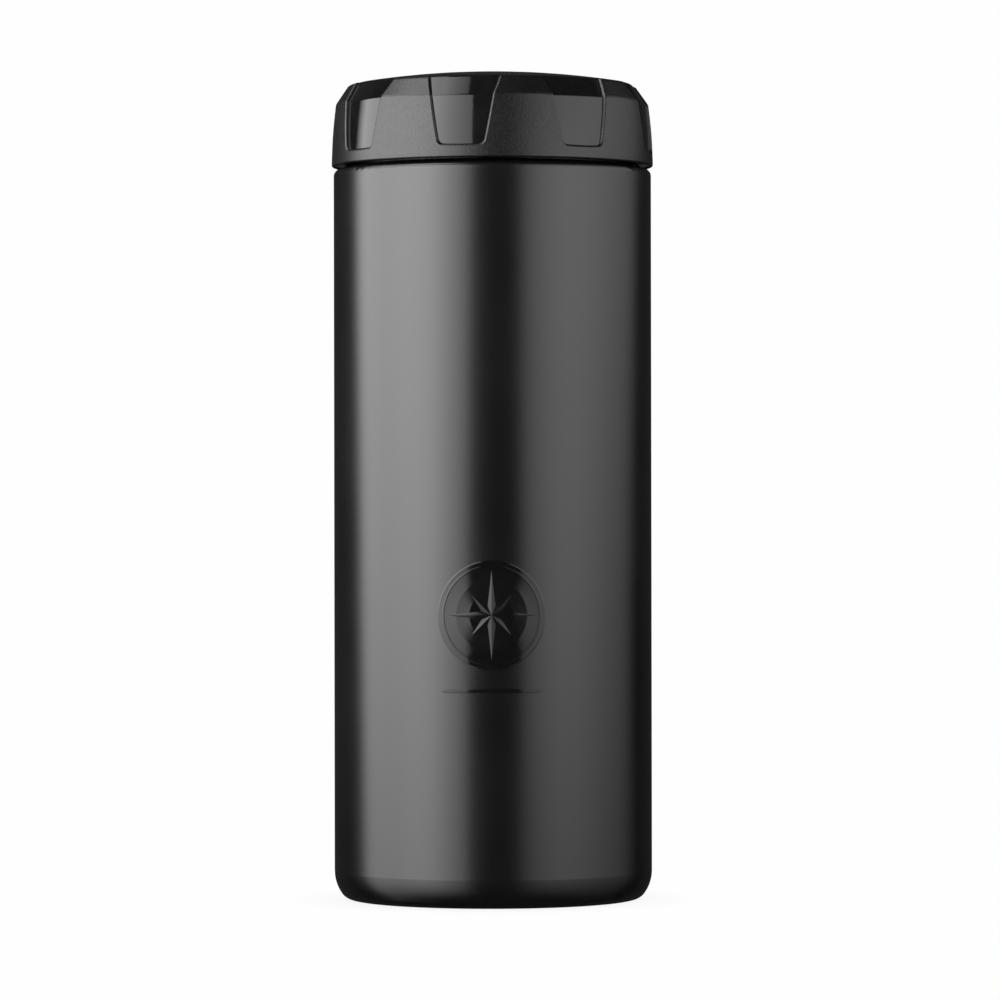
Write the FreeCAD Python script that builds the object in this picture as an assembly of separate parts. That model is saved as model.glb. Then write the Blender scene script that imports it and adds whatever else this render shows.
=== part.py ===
import FreeCAD, Part
import math
import os

# Double-walled steel canister with a screw-on grip lid.
# Millimetres, +Z up, origin at the centre of the foot, -Y is the front.
# Azimuths are counted from the front, positive towards +X.

# ---------------------------------------------------------------- dimensions
# canister body
BODY_R = 36.5            # outside radius of the barrel
WALL_OUT = 0.6           # outer shell sheet
WALL_IN = 0.5            # inner liner sheet
FOOT_LIFT = 0.15         # standing ring above the rubber pad's face
FOOT_UPPER_R = 9.04      # the bottom corner starts with this slow radius below the wall ...
FOOT_LOWER_R = 3.315     # ... and closes with this tight one above the standing ring
FOOT_TURN = 35.0         # degrees the slow radius turns through
FOOT_RING_R = 29.3       # inner edge of the standing ring, where the base plate is welded
SHOULDER_Z = 167.85      # top of the shoulder
SHOULDER_CORNER = 1.6    # outside radius of the shoulder corner
NECK_R = 32.2            # outside radius of the neck
NECK_TOP = 180.7         # top edge of the outer shell's neck
LIP_TOP = 181.5          # top of the rolled mouth
MOUTH_R = 30.4           # inside radius of the mouth
LINER_R = 33.7           # outside radius of the liner
LINER_FLOOR = 5.8        # underside of the liner
LINER_CORNER = 6.0       # outside radius of the liner's bottom corner
NECKDOWN_Z = 156.0       # start of the liner's draw-in
PAD_R = 28.3

# screw thread, right hand, two starts
LEAD = 8.0
STARTS = 2
PITCH = LEAD / STARTS
RIDGE_ROOT = 1.15        # half width at the root
RIDGE_CREST = 0.6        # half width at the crest
NECK_CREST_R = 33.35
LID_CREST_R = 32.55
NECK_RIDGE_Z = 170.5     # centre height of the first neck ridge at its start
NECK_RIDGE_TURNS = 1.05
LID_RIDGE_TURNS = 0.75

# lid
LID_Z = 168.4            # underside of the grip ring
LID_R = 36.95            # widest radius, just above the underside
LID_MID = (36.72, 175.85)
LID_BEND = (35.97, 182.7)
LID_BEND_R = 1.5         # rounding where the barrel turns into the chamfer
LID_CHAMFER_TOP = (33.1, 187.0)
LID_RIM_R = 1.45         # rounding where the chamfer turns into the dome
LID_TOP = 189.85         # apex of the shallow dome
DOME_R = 193.0
RING_T = 0.65            # thickness of the grip ring, and the depth of its windows
SKIRT_R = 33.7           # inside radius of the cap's skirt
CAP_T = 1.8
LEDGE_Z = 184.2          # ledge the lid liner is welded to

# windows in the grip ring
WINDOWS = 8
WINDOW_AZ = -11.05       # azimuth of the first window's centre
WINDOW_BOTTOM = 171.25
WINDOW_HALF = [(171.25, 5.22), (182.7, 7.66), (187.3, 10.4), (190.5, 12.2)]   # (height, half width) at the ring's face
WINDOW_CORNER = 1.35
WINDOW_EDGE = 0.4        # rounding of the windows' outer edges
WINDOW_DRAFT = 0.25      # side walls lean by this much per mm of depth
WINDOW_FOOT_DRAFT = 0.45 # the bottom wall leans by this much per mm of depth


# ------------------------------------------------------------------- helpers
def dome_z(r, drop=0.0):
    """Height of the dome surface at radius r."""
    return LID_TOP - drop - (DOME_R - math.sqrt(DOME_R ** 2 - r * r))


def rounded_edges(points, closed=True):
    """Edges of a polyline in the XZ plane; each point is (x, z) or (x, z, fillet radius)."""
    pts = [FreeCAD.Vector(p[0], 0, p[1]) for p in points]
    rad = [p[2] if len(p) > 2 else 0.0 for p in points]
    n = len(pts)
    starts, ends, arcs = [None] * n, [None] * n, [None] * n
    for i in range(n):
        p = pts[i]
        if rad[i] <= 0:
            starts[i] = ends[i] = p
            continue
        a = pts[i - 1].sub(p).normalize()
        b = pts[(i + 1) % n].sub(p).normalize()
        half = a.getAngle(b) / 2
        cut = rad[i] / math.tan(half)
        mid = a.add(b).normalize()
        centre = p.add(mid.multiply(rad[i] / math.sin(half)))
        starts[i] = p.add(FreeCAD.Vector(a).multiply(cut))
        ends[i] = p.add(FreeCAD.Vector(b).multiply(cut))
        crown = p.sub(centre).normalize().multiply(rad[i]).add(centre)
        arcs[i] = Part.Arc(starts[i], crown, ends[i]).toShape()
    edges = []
    for i in range(n):
        if arcs[i] is not None:
            edges.append(arcs[i])
        if not closed and i == n - 1:
            break
        a, b = ends[i], starts[(i + 1) % n]
        if a.distanceToPoint(b) > 1e-6:
            edges.append(Part.LineSegment(a, b).toShape())
    return edges


def turned_edges(edges):
    """Solid of revolution about Z of a closed profile, with its seam at the back."""
    face = Part.Face(Part.Wire(Part.__sortEdges__(edges)))
    solid = face.revolve(FreeCAD.Vector(0, 0, 0), FreeCAD.Vector(0, 0, 1), 360)
    solid.rotate(FreeCAD.Vector(0, 0, 0), FreeCAD.Vector(0, 0, 1), 120)
    return solid


def turned(points):
    return turned_edges(rounded_edges(points))


def dome_arc(r0, r1, drop=0.0):
    """Arc of the dome's profile from radius r0 to r1."""
    rm = (r0 + r1) / 2
    return Part.Arc(
        FreeCAD.Vector(r0, 0, dome_z(r0, drop)),
        FreeCAD.Vector(rm, 0, dome_z(rm, drop)),
        FreeCAD.Vector(r1, 0, dome_z(r1, drop)),
    ).toShape()


def ridge(root_r, crest_r, z0, start_deg, turns, bury):
    """One helical thread ridge whose height fades in and out at its ends."""
    steps = int(round(turns * 48))
    fade = 6.0
    sign = 1.0 if crest_r > root_r else -1.0
    height = abs(crest_r - root_r)
    slope = (RIDGE_ROOT - RIDGE_CREST) / height
    rows = [[], [], [], []]
    for i in range(steps + 1):
        ramp = min(1.0, (i + 0.8) / fade, (steps - i + 0.8) / fade)
        rise = height * math.sin(ramp * math.pi / 2)
        angle = math.radians(start_deg) + 2 * math.pi * turns * i / steps
        z = z0 + LEAD * turns * i / steps
        inner = root_r - sign * bury
        crest = root_r + sign * rise
        wide = RIDGE_ROOT + slope * bury
        narrow = RIDGE_ROOT - slope * rise
        c, s = math.cos(angle), math.sin(angle)
        for row, (r, h) in zip(rows, ((inner, z - wide), (crest, z - narrow), (crest, z + narrow), (inner, z + wide))):
            row.append(FreeCAD.Vector(r * c, r * s, h))
    params = [float(i) for i in range(steps + 1)]
    curves = []
    for row in rows:
        curve = Part.BSplineCurve()
        curve.interpolate(Points=row, Parameters=params)
        curves.append(curve.toShape())
    faces = [Part.makeRuledSurface(curves[j], curves[(j + 1) % 4]) for j in range(4)]
    for k in (0, -1):
        ring = [row[k] for row in rows]
        faces.append(Part.Face(Part.makePolygon(ring + [ring[0]])))
    shell = Part.makeShell(faces)
    shell.sewShape()
    solid = Part.Solid(shell)
    if solid.Volume < 0:
        solid.reverse()
    return solid


def azimuth(shape, az):
    """Turn a shape built at the front to azimuth az."""
    out = shape.copy()
    out.rotate(FreeCAD.Vector(0, 0, 0), FreeCAD.Vector(0, 0, 1), az)
    return out


# ------------------------------------------------------------ canister body
def foot_corner(t):
    """The two corner points of the rounded foot, on the surface t inside the shell's outside."""
    turn = math.radians(FOOT_TURN)
    height = FOOT_UPPER_R * math.sin(turn) + FOOT_LOWER_R * (1 - math.sin(turn))
    reach = FOOT_UPPER_R * (1 - math.cos(turn)) + FOOT_LOWER_R * math.cos(turn)
    r_up, r_low = FOOT_UPPER_R - t, FOOT_LOWER_R - t
    low = (BODY_R - reach + r_low * math.tan((math.pi / 2 - turn) / 2), FOOT_LIFT + t, r_low - 0.0005)
    up = (BODY_R - t, FOOT_LIFT + height - r_up * math.tan(turn / 2), r_up - 0.0005)
    return low, up


def outer_shell():
    t = WALL_OUT
    z0 = FOOT_LIFT
    low, up = foot_corner(0.0)
    low_in, up_in = foot_corner(t)
    shell = turned([
        (FOOT_RING_R, z0),
        low,
        up,
        (BODY_R, SHOULDER_Z, SHOULDER_CORNER),
        (NECK_R, SHOULDER_Z, 0.6),
        (NECK_R, NECK_TOP),
        (NECK_R - t, NECK_TOP),
        (NECK_R - t, SHOULDER_Z - t, 0.6 + t),
        (BODY_R - t, SHOULDER_Z - t, SHOULDER_CORNER - t),
        up_in,
        low_in,
        (FOOT_RING_R, z0 + t),
    ])
    for k in range(STARTS):
        shell = shell.fuse(ridge(NECK_R, NECK_CREST_R, NECK_RIDGE_Z, 360.0 * k / STARTS, NECK_RIDGE_TURNS, 0.3))
    return shell.removeSplitter()


def inner_liner():
    t = WALL_IN
    neck = MOUTH_R + t
    drop = LINER_R - neck
    # two equal tangent arcs of 45 degrees each draw the wall in to the neck
    rho = drop / (2 * (1 - math.cos(math.pi / 4)))
    rise = 2 * rho * math.sin(math.pi / 4)
    z1, z3 = NECKDOWN_Z, NECKDOWN_Z + rise
    c45 = math.cos(math.pi / 4)
    V = FreeCAD.Vector

    def arc(cx, cz, r, a0, a1):
        am = (a0 + a1) / 2
        return Part.Arc(*[V(cx + r * math.cos(a), 0, cz + r * math.sin(a)) for a in (a0, am, a1)]).toShape()

    ca = (LINER_R - rho, z1)
    cb = (neck + rho, z3)
    q = math.pi / 4
    out1 = arc(ca[0], ca[1], rho, 0, q)
    out2 = arc(cb[0], cb[1], rho, math.pi + q, math.pi)
    in1 = arc(ca[0], ca[1], rho - t, 0, q)
    in2 = arc(cb[0], cb[1], rho + t, math.pi + q, math.pi)
    low = rounded_edges([(0, LINER_FLOOR), (LINER_R, LINER_FLOOR, LINER_CORNER), (LINER_R, z1)], closed=False)
    lip = rounded_edges([
        (neck, z3), (neck, NECK_TOP), (NECK_R, NECK_TOP), (NECK_R, LIP_TOP, 0.38),
        (MOUTH_R, LIP_TOP, 0.38), (MOUTH_R, z3),
    ], closed=False)
    low_in = rounded_edges([
        (LINER_R - t, z1), (LINER_R - t, LINER_FLOOR + t, LINER_CORNER - t), (0, LINER_FLOOR + t), (0, LINER_FLOOR),
    ], closed=False)
    return turned_edges(low + [out1, out2] + lip + [in1, in2] + low_in)


def base_plate():
    t = WALL_OUT
    z0 = FOOT_LIFT
    return turned([
        (0.9, 2.4), (3.5, 2.4), (5.0, 1.5, 0.5), (FOOT_RING_R - t, 1.5, 0.6), (FOOT_RING_R - t, z0),
        (FOOT_RING_R, z0), (FOOT_RING_R, 2.1, 1.2), (5.25, 2.1, 0.5), (3.75, 3.0), (0.9, 3.0),
    ])


def vacuum_seal():
    bead = turned([(0, 1.95, 0), (1.1, 2.0, 0.5), (1.9, 2.4), (0.9, 2.4), (0.9, 2.95), (0, 2.95)])
    return bead


def getter():
    disc = Part.makeCylinder(4.5, 1.2, FreeCAD.Vector(14, 0, LINER_FLOOR - 1.2))
    cup = Part.makeCylinder(3.5, 0.5, FreeCAD.Vector(14, 0, LINER_FLOOR - 1.2))
    return disc.cut(cup)


def base_pad():
    pad = turned([
        (0, 0), (PAD_R, 0, 0.35), (PAD_R, 0.9), (PAD_R - 0.5, 1.5), (0, 1.5),
    ])
    for r in (9.0, 13.5, 18.0, 22.5):
        groove = turned([(r - 0.7, -0.2), (r + 0.7, -0.2), (r + 0.5, 0.45), (r - 0.5, 0.45)])
        pad = pad.cut(groove)
    return pad


# ---------------------------------------------------------------------- lid
def chamfer_dir():
    dx = LID_CHAMFER_TOP[0] - LID_BEND[0]
    dz = LID_CHAMFER_TOP[1] - LID_BEND[1]
    n = math.hypot(dx, dz)
    return dx / n, dz / n


def inset_bend(t):
    """Point where the barrel and the chamfer meet on the surface t inside the ring's face."""
    dx, dz = chamfer_dir()
    bx, bz = LID_BEND[0] - LID_MID[0], LID_BEND[1] - LID_MID[1]
    n = math.hypot(bx, bz)
    bx, bz = bx / n, bz / n
    # barrel line moved in by t along its normal, then cut with the moved chamfer line
    px, pz = LID_BEND[0] - t * bz, LID_BEND[1] + t * bx
    qx, qz = LID_BEND[0] - t * dz, LID_BEND[1] + t * dx
    det = bx * (-dz) - (-dx) * bz
    s = ((qx - px) * (-dz) - (-dx) * (qz - pz)) / det
    return px + s * bx, pz + s * bz


def inset_dome_hit(t):
    """Where the chamfer line moved in by t meets the dome."""
    dx, dz = chamfer_dir()
    x, z = LID_BEND[0] - t * dz, LID_BEND[1] + t * dx
    lo, hi = 0.0, 12.0
    for _ in range(60):
        mid = (lo + hi) / 2
        if z + mid * dz < dome_z(x + mid * dx):
            lo = mid
        else:
            hi = mid
    return x + lo * dx, z + lo * dz


def window_outline(dist):
    """The window's outline in the plane y = -dist. Its side walls point at the axis, apart from their draft."""
    face_r = LID_R - 0.4
    lean = dist - face_r
    pts = []
    for z, w in WINDOW_HALF:
        cos = math.sqrt(1 - (w / face_r) ** 2)
        pts.append((z, w * dist / (face_r * cos) + WINDOW_DRAFT * lean))
    pts[0] = (pts[0][0] - WINDOW_FOOT_DRAFT * lean, pts[0][1])
    n = len(pts)
    out = [(-pts[0][1], pts[0][0], WINDOW_CORNER), (pts[0][1], pts[0][0], WINDOW_CORNER)]
    out += [(w, z, 3.0 if i < n - 2 else 0.0) for i, (z, w) in enumerate(pts) if i > 0]
    out += [(-w, z, 3.0 if i < n - 2 else 0.0) for i, (z, w) in reversed(list(enumerate(pts))) if i > 0]
    wire = Part.Wire(Part.__sortEdges__(rounded_edges(out)))
    wire.translate(FreeCAD.Vector(0, -dist, 0))
    return wire


def window_cutter():
    """Tapered block that cuts one window at the front."""
    return Part.makeLoft([window_outline(31.0), window_outline(40.0)], True, True)


def lid_grip_ring():
    t = RING_T
    bend = inset_bend(t)
    top_in = inset_dome_hit(t)
    top = inset_dome_hit(0.0)
    low = [(LID_R, LID_Z, 0.38), (LID_R, LID_Z + 1.2, 8.0), LID_MID + (100.0,), LID_BEND + (LID_BEND_R,)]
    blank = turned([(LID_R - t, LID_Z)] + low + [
        top, top_in,
        (bend[0], bend[1], LID_BEND_R - t), (LID_MID[0] - t, LID_MID[1], 99.0), (LID_R - t, LID_Z + 1.2, 7.0),
    ])
    cutter = window_cutter()
    ring = blank
    for k in range(WINDOWS):
        ring = ring.cut(azimuth(cutter, WINDOW_AZ + 360.0 * k / WINDOWS))
    # round the outer edge of every window: edges that lie on the ring's outer
    # profile and are not latitude circles of the ring itself
    outer = Part.Wire(Part.__sortEdges__(rounded_edges(low + [top, top_in], closed=False)))

    def on_outer(p):
        flat = Part.Vertex(FreeCAD.Vector(math.hypot(p.x, p.y), 0, p.z))
        return outer.distToShape(flat)[0] < 0.01

    edges = []
    for e in ring.Edges:
        span = e.LastParameter - e.FirstParameter
        pts = [e.valueAt(e.FirstParameter + span * k) for k in (0.02, 0.5, 0.98)]
        level = e.BoundBox.ZLength < 1e-4
        if all(on_outer(p) for p in pts) and (not level or abs(pts[0].z - WINDOW_BOTTOM) < 0.5):
            az = math.degrees(math.atan2(pts[1].x, -pts[1].y))
            off = (az - WINDOW_AZ + 180.0 / WINDOWS) % (360.0 / WINDOWS) - 180.0 / WINDOWS
            if abs(off) < 18.0:
                edges.append(e)
    ring = ring.makeFillet(WINDOW_EDGE, edges)
    # the rim between chamfer and dome is turned round
    envelope = turned([(0, LID_Z - 1.0), (LID_R + 1.0, LID_Z - 1.0), (LID_R + 1.0, LID_BEND[1]), LID_BEND,
                       top + (LID_RIM_R,), (top[0] - 2.2, dome_z(top[0] - 2.2) + 0.003), (0, LID_TOP + 1.0)])
    return ring.common(envelope)


def lid_core():
    t = RING_T
    bend = inset_bend(t)
    top = inset_dome_hit(t)
    deep = inset_bend(t + CAP_T)
    dx, dz = chamfer_dir()
    # inner chamfer line cut at the ledge height
    k = (LEDGE_Z - deep[1]) / dz
    ledge = (deep[0] + k * dx, LEDGE_Z)
    k = (SKIRT_R - deep[0]) / dx
    kink = (SKIRT_R, deep[1] + k * dz)
    pocket_r = 29.6
    pocket_z = dome_z(pocket_r, 2.0)
    path = rounded_edges([
        (pocket_r, pocket_z), (pocket_r, LEDGE_Z), (ledge[0], ledge[1], 0.4), (kink[0], kink[1], 1.0),
        (SKIRT_R, LID_Z + 0.7), (SKIRT_R + 0.5, LID_Z + 0.25), (LID_R - t, LID_Z + 0.25),
        (LID_R - t, LID_Z + 1.2, 7.0), (LID_MID[0] - t, LID_MID[1], 99.0), (bend[0], bend[1], LID_BEND_R - t),
        (top[0], top[1], LID_RIM_R), (top[0] - 2.0, dome_z(top[0] - 2.0)),
    ], closed=False)
    crown = dome_arc(top[0] - 2.0, 0.0)
    axis = Part.LineSegment(FreeCAD.Vector(0, 0, dome_z(0)), FreeCAD.Vector(0, 0, dome_z(0, 2.0))).toShape()
    under = dome_arc(0.0, pocket_r, 2.0)
    core = turned_edges(path + [crown, axis, under])
    z0 = NECK_RIDGE_Z + PITCH / 2
    for k in range(STARTS):
        core = core.fuse(ridge(SKIRT_R, LID_CREST_R, z0 - LEAD * 0.05, 360.0 * k / STARTS - 18.0, LID_RIDGE_TURNS, 0.4))
    return core.removeSplitter()


def lid_liner():
    r = MOUTH_R - 0.5
    t = 1.4
    return turned([
        (0, 175.0), (r, 175.0, 2.4), (r, LEDGE_Z - 0.9, 0.0), (31.4, LEDGE_Z - 0.9), (31.4, LEDGE_Z),
        (r - t, LEDGE_Z), (r - t, 175.0 + t, 1.0), (0, 175.0 + t),
    ])


def lid_insulation():
    r = MOUTH_R - 0.5 - 1.4 - 0.06
    low = rounded_edges([
        (0, dome_z(0, 2.06)), (0, 176.4), (r, 176.4, 1.06), (r, dome_z(r, 2.06)),
    ], closed=False)
    return turned_edges(low + [dome_arc(r, 0.0, 2.06)])


def lid_gasket():
    r0, r1 = MOUTH_R - 0.5 + 0.15, 31.75
    z0, z1 = LIP_TOP + 0.05, LEDGE_Z - 0.95
    return turned([(r0, z0, 0.4), (r1, z0, 0.4), (r1, z1, 0.4), (r0, z1, 0.4)])


def main():
    os.makedirs("parts", exist_ok=True)
    for make in (outer_shell, inner_liner, base_plate, vacuum_seal, getter, base_pad,
                 lid_grip_ring, lid_core, lid_liner, lid_insulation, lid_gasket):
        shape = make()
        name = make.__name__
        solids = shape.Solids
        print(name, "valid", shape.isValid(), "solids", len(solids), "volume mm3", round(shape.Volume, 1))
        out = solids[0] if len(solids) == 1 else Part.makeCompound(solids)
        out.exportStep(os.path.join("parts", name + ".step"))


main()
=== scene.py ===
import bpy, bmesh, math
from mathutils import Vector, Matrix


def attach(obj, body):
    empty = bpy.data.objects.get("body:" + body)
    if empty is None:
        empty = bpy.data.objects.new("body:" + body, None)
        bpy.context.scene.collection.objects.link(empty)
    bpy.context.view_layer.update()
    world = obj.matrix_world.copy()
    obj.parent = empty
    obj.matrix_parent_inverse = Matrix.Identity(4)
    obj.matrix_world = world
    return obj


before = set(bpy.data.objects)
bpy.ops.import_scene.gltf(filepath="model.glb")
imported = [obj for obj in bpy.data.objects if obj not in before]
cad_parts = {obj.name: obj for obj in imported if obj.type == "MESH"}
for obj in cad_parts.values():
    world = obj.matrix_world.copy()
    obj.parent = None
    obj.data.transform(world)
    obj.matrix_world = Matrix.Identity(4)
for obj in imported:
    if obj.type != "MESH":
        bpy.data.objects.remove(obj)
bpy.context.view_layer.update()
scene = bpy.context.scene
scene.view_settings.view_transform = "Standard"
scene.view_settings.look = "None"

BODY_R = 0.0365
NECK_Z = 0.1692          # paint stops here, bare steel above


# ------------------------------------------------------------------ node help
class Tree:
    """A small builder for a material's node tree."""

    def __init__(self, name):
        self.mat = bpy.data.materials.new(name)
        self.mat.use_nodes = True
        self.t = self.mat.node_tree
        self.t.nodes.clear()
        self.out = self.t.nodes.new("ShaderNodeOutputMaterial")
        self.bsdf = self.t.nodes.new("ShaderNodeBsdfPrincipled")
        self.t.links.new(self.bsdf.outputs[0], self.out.inputs[0])
        self.coord = self.t.nodes.new("ShaderNodeTexCoord").outputs["Object"]

    def node(self, kind, **sockets):
        n = self.t.nodes.new(kind)
        for k, v in sockets.items():
            if hasattr(n, k):
                setattr(n, k, v)
        return n

    def link(self, a, b):
        self.t.links.new(a, b)

    def put(self, socket, v):
        if hasattr(v, "is_output"):
            self.link(v, socket)
        else:
            socket.default_value = v

    def scaled(self, x, y, z):
        m = self.node("ShaderNodeMapping")
        m.inputs["Scale"].default_value = (x, y, z)
        self.link(self.coord, m.inputs["Vector"])
        return m.outputs[0]

    def noise(self, scale, detail=2.0, rough=0.5, vector=None, distortion=0.0):
        n = self.node("ShaderNodeTexNoise")
        n.inputs["Scale"].default_value = scale
        n.inputs["Detail"].default_value = detail
        n.inputs["Roughness"].default_value = rough
        n.inputs["Distortion"].default_value = distortion
        self.link(vector or self.coord, n.inputs["Vector"])
        return n.outputs[0]

    def voronoi(self, scale, randomness=1.0):
        n = self.node("ShaderNodeTexVoronoi")
        n.inputs["Scale"].default_value = scale
        n.inputs["Randomness"].default_value = randomness
        self.link(self.coord, n.inputs["Vector"])
        return n.outputs["Distance"]

    def span(self, v, a, b, c, d, smooth=False):
        n = self.node("ShaderNodeMapRange")
        if smooth:
            n.interpolation_type = "SMOOTHSTEP"
        self.link(v, n.inputs[0])
        for i, x in zip((1, 2, 3, 4), (a, b, c, d)):
            n.inputs[i].default_value = x
        return n.outputs[0]

    def math(self, op, a, b=0.0, c=0.0):
        n = self.node("ShaderNodeMath")
        n.operation = op
        for i, v in enumerate((a, b, c)):
            self.put(n.inputs[i], v)
        return n.outputs[0]

    def mix(self, fac, a, b):
        n = self.node("ShaderNodeMix")
        n.data_type = "RGBA"
        self.put(n.inputs["Factor"], fac)
        for key, v in (("A", a), ("B", b)):
            s = [i for i in n.inputs if i.name == key and i.type == "RGBA"][0]
            self.put(s, v if hasattr(v, "is_output") else (*v, 1.0))
        return [o for o in n.outputs if o.type == "RGBA"][0]

    def bump(self, height, distance, strength=1.0, normal=None):
        n = self.node("ShaderNodeBump")
        n.inputs["Strength"].default_value = strength
        n.inputs["Distance"].default_value = distance
        self.link(height, n.inputs["Height"])
        if normal is not None:
            self.link(normal, n.inputs["Normal"])
        return n.outputs[0]

    def axis(self, which):
        n = self.node("ShaderNodeSeparateXYZ")
        self.link(self.coord, n.inputs[0])
        return n.outputs[which]

    def set(self, **kw):
        for k, v in kw.items():
            self.put(self.bsdf.inputs[k.replace("_", " ")], v)
        return self.mat


# ------------------------------------------------------------------ materials
def powder_coat():
    m = Tree("powder_coat_black")
    # orange peel of a sprayed satin coat, a finer tooth on top, and a few dust nibs
    peel = m.noise(620, 2.0, 0.55)
    tooth = m.noise(3600, 2.0, 0.6)
    nib = m.span(m.voronoi(260), 0.0, 0.12, 1.0, 0.0, smooth=True)
    pick = m.span(m.noise(150, 0.0), 0.60, 0.66, 0.0, 1.0)
    nib = m.math("MULTIPLY", nib, pick)
    n1 = m.bump(peel, 0.000010, 0.55)
    n2 = m.bump(tooth, 0.000006, 0.55, n1)
    n3 = m.bump(nib, 0.00003, 0.6, n2)
    cloud = m.noise(28, 3.0, 0.55)
    z = m.axis(2)
    steel = m.span(z, NECK_Z, NECK_Z + 0.00012, 0.0, 1.0)
    # light rubbing where the foot and the shoulder touch other things
    foot = m.span(z, 0.0003, 0.0040, 1.0, 0.0)
    shoulder = m.span(z, 0.1666, 0.1678, 0.0, 1.0)
    rub = m.math("MULTIPLY", m.math("MAXIMUM", foot, shoulder), m.span(m.noise(900, 4.0, 0.7), 0.46, 0.66, 0.0, 1.0))
    paint = m.mix(m.span(cloud, 0.35, 0.65, 0.0, 1.0), (0.0016, 0.0016, 0.0017), (0.0025, 0.0025, 0.0026))
    paint = m.mix(m.math("MULTIPLY", rub, 0.25), paint, (0.012, 0.012, 0.012))
    lines = m.noise(1.0, 3.0, 0.6, m.scaled(60, 60, 5200))
    bare = m.mix(lines, (0.50, 0.50, 0.49), (0.62, 0.62, 0.61))
    m.set(Base_Color=m.mix(steel, paint, bare), Metallic=steel, Normal=n3)
    rough = m.span(cloud, 0.3, 0.7, 0.240, 0.270)
    rough = m.math("SUBTRACT", rough, m.math("MULTIPLY", rub, 0.05))
    bare_rough = m.span(lines, 0.3, 0.7, 0.22, 0.36)
    n = m.node("ShaderNodeMix")
    m.link(steel, n.inputs[0]); m.link(rough, n.inputs[2]); m.link(bare_rough, n.inputs[3])
    m.set(Roughness=n.outputs[0])
    m.bsdf.inputs["IOR"].default_value = 1.56
    return m.mat


def grained_plastic():
    m = Tree("grained_plastic_black")
    # spark-eroded grain: rounded pits about half a millimetre across
    pits = m.noise(2100, 2.5, 0.6)
    cells = m.span(m.voronoi(1700), 0.0, 0.8, 0.0, 1.0)
    grain = m.math("ADD", m.math("MULTIPLY", pits, 0.65), m.math("MULTIPLY", cells, 0.35))
    n1 = m.bump(grain, 0.00006, 0.62)
    cloud = m.noise(45, 3.0, 0.6)
    scuff = m.span(m.noise(1.0, 3.0, 0.6, m.scaled(90, 90, 700)), 0.62, 0.80, 0.0, 1.0)
    base = m.mix(m.span(cloud, 0.35, 0.65, 0.0, 1.0), (0.0022, 0.0022, 0.0023), (0.0034, 0.0034, 0.0035))
    base = m.mix(m.math("MULTIPLY", scuff, 0.25), base, (0.009, 0.009, 0.009))
    rough = m.span(grain, 0.3, 0.7, 0.30, 0.39)
    m.set(Base_Color=base, Roughness=rough, Normal=n1)
    m.bsdf.inputs["IOR"].default_value = 1.50
    return m.mat


def gloss_plastic():
    m = Tree("gloss_plastic_black")
    wave = m.noise(75, 1.0, 0.4)
    n1 = m.bump(wave, 0.00006, 0.35)
    smudge = m.noise(130, 4.0, 0.6, distortion=0.6)
    hair = m.span(m.noise(1.0, 2.0, 0.5, m.scaled(2600, 2600, 160)), 0.66, 0.78, 0.0, 1.0)
    base = m.mix(m.span(smudge, 0.4, 0.7, 0.0, 1.0), (0.0046, 0.0046, 0.0047), (0.0064, 0.0064, 0.0065))
    rough = m.span(smudge, 0.45, 0.75, 0.055, 0.10)
    rough = m.math("ADD", rough, m.math("MULTIPLY", hair, 0.03))
    m.set(Base_Color=base, Roughness=rough, Normal=n1)
    m.bsdf.inputs["IOR"].default_value = 1.46
    return m.mat


def satin_plastic():
    m = Tree("satin_plastic_black")
    fine = m.noise(2200, 3.0, 0.6)
    n1 = m.bump(fine, 0.000012, 0.5)
    cloud = m.noise(60, 3.0, 0.6)
    base = m.mix(m.span(cloud, 0.35, 0.65, 0.0, 1.0), (0.0100, 0.0100, 0.0105), (0.0150, 0.0150, 0.0155))
    m.set(Base_Color=base, Roughness=m.span(cloud, 0.3, 0.7, 0.30, 0.40), Normal=n1)
    return m.mat


def turned_steel(name, line=5200, low=0.20, high=0.34):
    m = Tree(name)
    # circumferential polishing lines
    lines = m.noise(1.0, 3.0, 0.65, m.scaled(55, 55, line))
    haze = m.noise(70, 3.0, 0.6)
    n1 = m.bump(lines, 0.000006, 0.5)
    base = m.mix(lines, (0.47, 0.47, 0.46), (0.61, 0.61, 0.60))
    base = m.mix(m.math("MULTIPLY", m.span(haze, 0.45, 0.7, 0.0, 1.0), 0.2), base, (0.40, 0.39, 0.37))
    rough = m.math("ADD", m.span(lines, 0.3, 0.7, low, high), m.span(haze, 0.3, 0.7, -0.02, 0.04))
    m.set(Base_Color=base, Roughness=rough, Normal=n1, Metallic=1.0)
    return m.mat


def silicone(name, dark, light, rough=(0.55, 0.68)):
    m = Tree(name)
    fine = m.noise(2600, 3.0, 0.6)
    dust = m.span(m.noise(420, 5.0, 0.7), 0.60, 0.75, 0.0, 1.0)
    cloud = m.noise(80, 3.0, 0.6)
    n1 = m.bump(fine, 0.000015, 0.6)
    base = m.mix(m.span(cloud, 0.35, 0.65, 0.0, 1.0), dark, light)
    base = m.mix(m.math("MULTIPLY", dust, 0.18), base, (0.16, 0.155, 0.15))
    m.set(Base_Color=base, Roughness=m.span(cloud, 0.3, 0.7, *rough), Normal=n1)
    return m.mat


def brazed():
    m = Tree("brazed_bead")
    lumps = m.noise(1600, 3.0, 0.6)
    n1 = m.bump(lumps, 0.00004, 0.6)
    base = m.mix(m.span(lumps, 0.35, 0.65, 0.0, 1.0), (0.33, 0.29, 0.22), (0.52, 0.46, 0.36))
    m.set(Base_Color=base, Roughness=m.span(lumps, 0.3, 0.7, 0.30, 0.50), Normal=n1, Metallic=1.0)
    return m.mat


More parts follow.
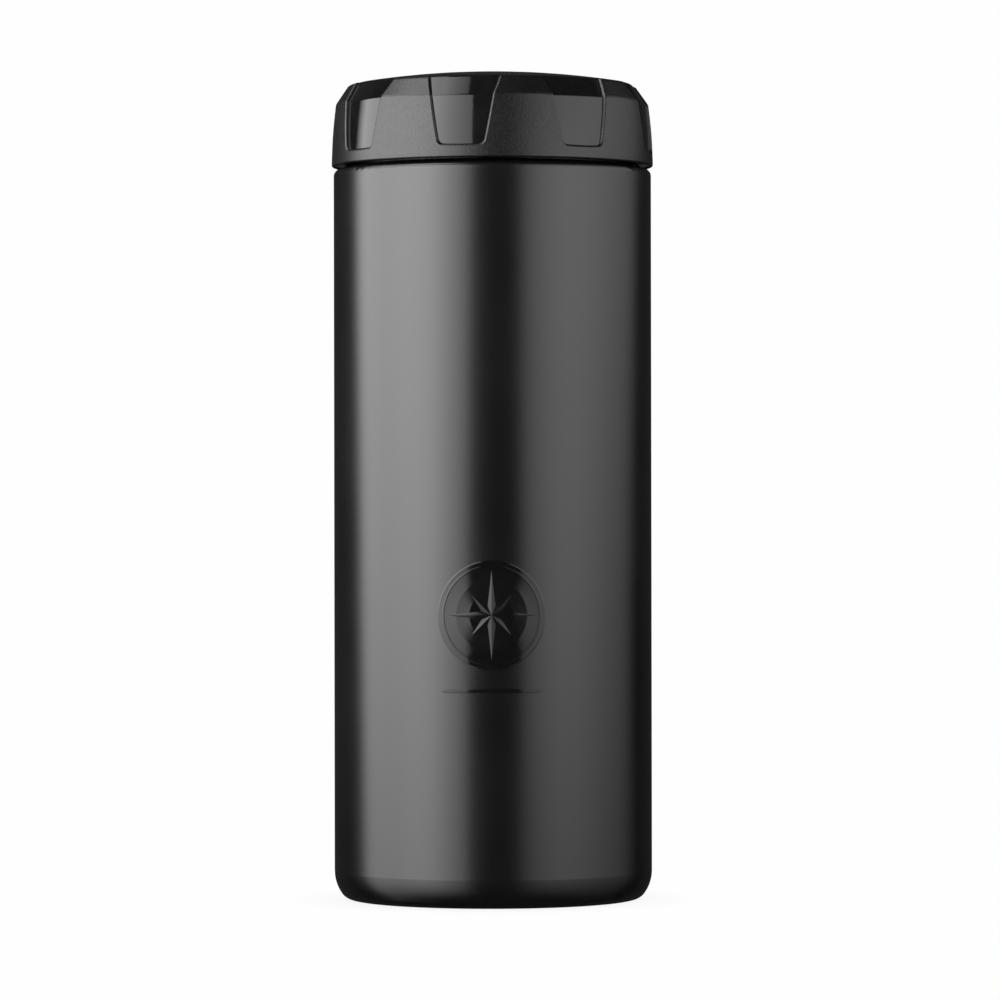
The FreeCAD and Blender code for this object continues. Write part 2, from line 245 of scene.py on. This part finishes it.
def foam():
    m = Tree("closed_cell_foam")
    cells = m.voronoi(1800)
    n1 = m.bump(cells, 0.0001, 0.6)
    base = m.mix(m.span(cells, 0.0, 0.7, 0.0, 1.0), (0.52, 0.50, 0.45), (0.74, 0.72, 0.66))
    m.set(Base_Color=base, Roughness=m.span(cells, 0.0, 0.7, 0.8, 0.95), Normal=n1)
    return m.mat


def varnish():
    m = Tree("gloss_varnish_black")
    smudge = m.noise(180, 3.0, 0.6)
    fine = m.noise(1500, 2.0, 0.5)
    n1 = m.bump(fine, 0.000006, 0.4)
    base = m.mix(m.span(smudge, 0.4, 0.7, 0.0, 1.0), (0.0030, 0.0030, 0.0031), (0.0045, 0.0045, 0.0046))
    m.set(Base_Color=base, Roughness=m.span(smudge, 0.4, 0.7, 0.10, 0.15), Normal=n1)
    m.bsdf.inputs["IOR"].default_value = 1.46
    return m.mat


coat = powder_coat()
grain = grained_plastic()
gloss = gloss_plastic()
satin = satin_plastic()
steel_in = turned_steel("turned_steel_liner")
steel_base = turned_steel("pressed_steel_base", 1500, 0.26, 0.40)
pad_rubber = silicone("pad_rubber", (0.010, 0.010, 0.0105), (0.016, 0.016, 0.0165))
ring_rubber = silicone("seal_silicone", (0.050, 0.050, 0.052), (0.070, 0.070, 0.073), (0.40, 0.52))
finish = {
    "outer_shell": coat, "inner_liner": steel_in, "base_plate": steel_base, "vacuum_seal": brazed(),
    "getter": turned_steel("getter_cup", 2400, 0.35, 0.5), "base_pad": pad_rubber, "lid_grip_ring": grain,
    "lid_core": gloss, "lid_liner": satin, "lid_insulation": foam(), "lid_gasket": ring_rubber,
}
for name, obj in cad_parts.items():
    for i in range(max(1, len(obj.material_slots))):
        if not obj.material_slots:
            obj.data.materials.append(finish[name])
        obj.material_slots[i].material = finish[name]


# ---------------------------------------------------------------------- badge
def wrapped(x, z, h, az0=-0.5, z0=0.0):
    """A point of the badge: x along the barrel, z up, h proud of the coat, all in mm."""
    a = math.radians(az0) + x / (BODY_R * 1000)
    r = BODY_R * 1000 + h
    return Vector((r * math.sin(a), -r * math.cos(a), z + z0)) / 1000


def grid(bm, rows, wrap=False):
    """Joins rows of points, all the same length, with quads. wrap closes each row on itself."""
    vs = [[bm.verts.new(p) for p in row] for row in rows]
    for a, b in zip(vs, vs[1:]):
        n = len(a)
        for i in range(n if wrap else n - 1):
            j = (i + 1) % n
            bm.faces.new([a[i], a[j], b[j], b[i]])
    return vs


def badge():
    """A generic compass star on a round varnished medallion, over a slim pointed bar, as a thin gloss relief."""
    bm = bmesh.new()
    zc = 66.0
    top, sink = 0.05, -0.05
    # medallion: a thin disc with a bead near its edge
    around = 128
    profile = [(2.0, top), (5.0, top), (8.0, top), (10.72, top), (10.84, 0.10), (11.10, 0.10), (11.22, top),
               (12.05, top), (12.30, -0.005), (12.30, sink), (8.0, sink), (4.0, sink)]
    rows = []
    for j in range(around + 1):
        a = 2 * math.pi * (j % around) / around
        rows.append([wrapped(r * math.sin(a), r * math.cos(a), h, z0=zc) for r, h in profile])
    vs = grid(bm, rows)
    for h, k in ((top, 0), (sink, -1)):
        c = bm.verts.new(wrapped(0, 0, h, z0=zc))
        for j in range(around):
            bm.faces.new([vs[j][k], vs[j + 1][k], c])
    # star: eight points, each with a raised middle line
    for k in range(8):
        long = k % 2 == 0
        tip = 10.0 if long else 6.2
        root = 2.4
        a0 = math.radians(45 * k)
        half = math.radians(22.5)
        steps = 14 if long else 9
        rows = []
        for j in range(steps + 1):
            t = j / steps
            pair = []
            for sgn in (-1, 1):
                ex = root * math.sin(a0 + sgn * half) * (1 - t) + tip * math.sin(a0) * t
                ez = root * math.cos(a0 + sgn * half) * (1 - t) + tip * math.cos(a0) * t
                pair.append((ex, ez))
            rx, rz = tip * math.sin(a0) * t, tip * math.cos(a0) * t
            (lx, lz), (px, pz) = pair
            rows.append([wrapped(lx, lz, top - 0.01, z0=zc), wrapped(rx, rz, top + 0.01 + 0.24 * (1 - t), z0=zc),
                         wrapped(px, pz, top - 0.01, z0=zc), wrapped(rx, rz, top - 0.03, z0=zc)])
        grid(bm, rows, wrap=True)
    # slim bar with pointed ends
    rows = []
    for j in range(41):
        x = -11.6 + 23.2 * j / 40
        w = min(0.46, 0.03 + 0.40 * (11.6 - abs(x)))
        e = min(0.12, w * 0.4)
        zb = -16.9
        rows.append([wrapped(x, zb - w, sink, z0=zc), wrapped(x, zb - w, 0.02, z0=zc), wrapped(x, zb - w + e, 0.06, z0=zc),
                     wrapped(x, zb + w - e, 0.06, z0=zc), wrapped(x, zb + w, 0.02, z0=zc), wrapped(x, zb + w, sink, z0=zc)])
    vs = grid(bm, rows, wrap=True)
    bm.faces.new(vs[0][::-1])
    bm.faces.new(vs[-1])
    bmesh.ops.remove_doubles(bm, verts=bm.verts, dist=2e-6)
    bmesh.ops.dissolve_degenerate(bm, dist=1e-6, edges=bm.edges)
    bmesh.ops.recalc_face_normals(bm, faces=bm.faces)
    me = bpy.data.meshes.new("compass_badge")
    bm.to_mesh(me)
    bm.free()
    ob = bpy.data.objects.new("compass_badge", me)
    scene.collection.objects.link(ob)
    me.materials.append(varnish())
    return ob


mark = badge()
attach(mark, "canister")


# ---------------------------------------------------------------------- stage
def emitter(name):
    """An empty staged object for a light card that the camera doesn't see."""
    me = bpy.data.meshes.new(name)
    ob = bpy.data.objects.new(name, me)
    scene.collection.objects.link(ob)
    ob.visible_camera = False
    ob.visible_shadow = False
    return ob


def curved_card(name, az0, az1, z0, z1, radius, bands, levels, gain):
    """Part of a round light tent, from azimuth az0 to az1 and height z0 to z1. levels gives its brightness
    by height. bands are (stops, z_low, z_high, turn): brightness by azimuth, where the stops turn by
    that many degrees from z_low to z_high, so that an edge of the card can lean."""
    bm = bmesh.new()
    n = max(8, int((az1 - az0) / 3))
    rows = []
    for j in range(n + 1):
        a = math.radians(az0 + (az1 - az0) * j / n)
        rows.append([Vector((radius * math.sin(a), -radius * math.cos(a), z0 + (z1 - z0) * i / 6)) for i in range(7)])
    grid(bm, rows)
    ob = emitter(name)
    bm.to_mesh(ob.data)
    bm.free()
    mat = bpy.data.materials.new(name)
    mat.use_nodes = True
    t = mat.node_tree
    t.nodes.clear()
    out = t.nodes.new("ShaderNodeOutputMaterial")
    em = t.nodes.new("ShaderNodeEmission")
    co = t.nodes.new("ShaderNodeTexCoord")
    sep = t.nodes.new("ShaderNodeSeparateXYZ")
    t.links.new(co.outputs["Object"], sep.inputs[0])

    def calc(op, a, b):
        m = t.nodes.new("ShaderNodeMath")
        m.operation = op
        for i, v in enumerate((a, b)):
            if hasattr(v, "is_output"):
                t.links.new(v, m.inputs[i])
            else:
                m.inputs[i].default_value = v
        return m.outputs[0]

    az = calc("ARCTAN2", sep.outputs[0], calc("MULTIPLY", sep.outputs[1], -1))
    if az1 > 180:
        az = calc("ADD", az, calc("MULTIPLY", calc("LESS_THAN", az, 0.0), 2 * math.pi))

    def span(value, lo, hi, a, b):
        mr = t.nodes.new("ShaderNodeMapRange")
        for i, x in zip((1, 2, 3, 4), (lo, hi, a, b)):
            mr.inputs[i].default_value = x
        t.links.new(value, mr.inputs[0])
        return mr.outputs[0]

    def ramp(value, points):
        lo, hi = points[0][0], points[-1][0]
        cr = t.nodes.new("ShaderNodeValToRGB")
        els = cr.color_ramp.elements
        while len(els) > 1:
            els.remove(els[0])
        pts = [((x - lo) / (hi - lo), v) for x, v in points]
        els[0].position, els[0].color = pts[0][0], (pts[0][1],) * 3 + (1,)
        for p, v in pts[1:]:
            e = els.new(p)
            e.color = (v, v, v, 1)
        t.links.new(span(value, lo, hi, 0, 1), cr.inputs[0])
        return cr.outputs[0]

    total = ramp(sep.outputs[2], levels)
    for stops, low, high, turn in bands:
        here = calc("ADD", az, span(sep.outputs[2], low, high, 0.0, math.radians(turn)))
        total = calc("MULTIPLY", total, ramp(here, [(math.radians(a), v) for a, v in stops]))
    t.links.new(calc("MULTIPLY", total, gain), em.inputs["Strength"])
    t.links.new(em.outputs[0], out.inputs[0])
    ob.data.materials.append(mat)
    return ob


TENT = 0.90
LOW_LEFT = [(-1.30, 0.01), (-1.05, 0.02), (-0.84, 0.075), (-0.50, 0.22), (-0.26, 0.33), (-0.10, 0.42), (-0.045, 0.53),
            (0.0, 0.70), (0.093, 0.84), (0.171, 1.0)]
LOW_RIGHT = [(-1.30, 0.01), (-1.05, 0.02), (-0.84, 0.05), (-0.50, 0.15), (-0.26, 0.22), (-0.10, 0.29), (-0.045, 0.46),
             (0.0, 0.68), (0.093, 0.84), (0.171, 1.0)]
curved_card("softbox_left", -128, -14, -1.30, 2.80, TENT, [
    ([(-128, 0.0), (-106, 0.0), (-96, 0.76), (-80, 0.80), (-68, 0.87), (-56, 1.0), (0, 1.0)], -0.10, 0.20, 10.8),
    ([(-128, 1.0), (-46, 1.0), (-40, 0.88), (-30, 0.62), (-22, 0.46), (-14.4, 0.33), (-14.3, 0.0), (0, 0.0)], 0.6, 1.1, 20.0),
    ([(-128, 1.0), (-17.9, 1.0), (-17.8, 0.0), (0, 0.0)], 0.05, 0.34, -4.2),
], LOW_LEFT + [(0.5, 1.0), (0.75, 0.55), (1.0, 0.45), (1.25, 0.88), (1.6, 0.82), (1.9, 0.56), (2.2, 0.52), (2.8, 0.52)], 6.7)
curved_card("softbox_right", 20, 132, -1.30, 1.05, TENT, [
    ([(20, 0.42), (26, 0.60), (35, 0.82), (44, 0.94), (54, 1.0), (132, 1.0)], 0.0, 1.0, 0.0),
    ([(0, 1.0), (43, 1.0), (53, 0.98), (63, 0.88), (75, 0.72), (87, 0.52), (99, 0.38), (108, 0.24), (116, 0.08),
      (122, 0.0), (132, 0.0)], 0.07, 0.38, -20.0),
], LOW_RIGHT + [(0.20, 1.0), (0.28, 0.90), (0.45, 0.80), (0.62, 0.62), (0.85, 0.28), (1.05, 0.0)], 2.65)
# a faint card high at the back, which only flat tops seen from above reflect
curved_card("softbox_back", 148, 210, 0.45, 1.15, TENT, [
    ([(148, 0.0), (160, 0.7), (172, 1.0), (186, 1.0), (198, 0.7), (210, 0.0)], 0.0, 1.0, 0.0),
], [(0.45, 0.0), (0.65, 0.8), (0.8, 1.0), (0.95, 0.8), (1.15, 0.0)], 0.12)


def overhead_card():
    """A dim round card high above, which shows only in what faces straight up."""
    bm = bmesh.new()
    bmesh.ops.create_circle(bm, cap_ends=True, segments=48, radius=0.42)
    for v in bm.verts:
        v.co.z = 3.2
    ob = emitter("softbox_top")
    bm.to_mesh(ob.data)
    bm.free()
    mat = bpy.data.materials.new("softbox_top")
    mat.use_nodes = True
    t = mat.node_tree
    t.nodes.clear()
    out = t.nodes.new("ShaderNodeOutputMaterial")
    em = t.nodes.new("ShaderNodeEmission")
    em.inputs["Strength"].default_value = 0.06
    t.links.new(em.outputs[0], out.inputs[0])
    ob.data.materials.append(mat)


overhead_card()


def floor():
    bm = bmesh.new()
    rows = [[Vector((x, y, -0.00002)) for x in (-40, -2, -0.3, 0.3, 2, 40)] for y in (-40, -2, -0.3, 0.3, 2, 40)]
    grid(bm, rows)
    me = bpy.data.meshes.new("floor")
    bm.to_mesh(me)
    bm.free()
    ob = bpy.data.objects.new("floor", me)
    scene.collection.objects.link(ob)
    ob.visible_glossy = False
    mat = bpy.data.materials.new("pale_floor")
    mat.use_nodes = True
    t = mat.node_tree
    t.nodes.clear()
    out = t.nodes.new("ShaderNodeOutputMaterial")
    em = t.nodes.new("ShaderNodeEmission")
    # painted contact shadow: the floor's glow is dimmed by ambient occlusion close to the canister
    ao = t.nodes.new("ShaderNodeAmbientOcclusion")
    ao.inputs["Distance"].default_value = 0.012
    ao.samples = 8
    mr = t.nodes.new("ShaderNodeMapRange")
    mr.inputs[3].default_value = 0.90
    mr.inputs[4].default_value = 0.99
    t.links.new(ao.outputs["AO"], mr.inputs[0])
    t.links.new(mr.outputs[0], em.inputs["Strength"])
    # clear from below, so that the underside can be looked at
    side = t.nodes.new("ShaderNodeNewGeometry")
    clear = t.nodes.new("ShaderNodeBsdfTransparent")
    mix = t.nodes.new("ShaderNodeMixShader")
    t.links.new(side.outputs["Backfacing"], mix.inputs[0])
    t.links.new(em.outputs[0], mix.inputs[1])
    t.links.new(clear.outputs[0], mix.inputs[2])
    t.links.new(mix.outputs[0], out.inputs[0])
    me.materials.append(mat)
    return ob


floor()

world = bpy.data.worlds.new("studio")
scene.world = world
world.use_nodes = True
wt = world.node_tree
wt.nodes.clear()
w_out = wt.nodes.new("ShaderNodeOutputWorld")
w_bg = wt.nodes.new("ShaderNodeBackground")
w_dark = wt.nodes.new("ShaderNodeBackground")
w_mix = wt.nodes.new("ShaderNodeMixShader")
w_path = wt.nodes.new("ShaderNodeLightPath")
w_bg.inputs[0].default_value = (1, 1, 1, 1)
w_bg.inputs[1].default_value = 0.99
w_dark.inputs[0].default_value = (1, 1, 1, 1)
w_dark.inputs[1].default_value = 0.03
wt.links.new(w_path.outputs["Is Camera Ray"], w_mix.inputs[0])
wt.links.new(w_dark.outputs[0], w_mix.inputs[1])
wt.links.new(w_bg.outputs[0], w_mix.inputs[2])
wt.links.new(w_mix.outputs[0], w_out.inputs[0])

# --------------------------------------------------------------------- camera
cam_data = bpy.data.cameras.new("camera")
cam_data.sensor_width = 36.0
cam_data.lens = 5217.0 / 1000.0 * 36.0
cam_data.clip_start, cam_data.clip_end = 0.05, 200
cam = bpy.data.objects.new("camera", cam_data)
scene.collection.objects.link(cam)
eye = Vector((0.0, -1.201, 0.08975))
aim = Vector((0.001655, 0.0, 0.09181))
look = (aim - eye).to_track_quat("-Z", "Y").to_matrix().to_4x4()
cam.matrix_world = Matrix.Translation(eye) @ look @ Matrix.Rotation(math.radians(-0.09), 4, "Z")
scene.camera = cam
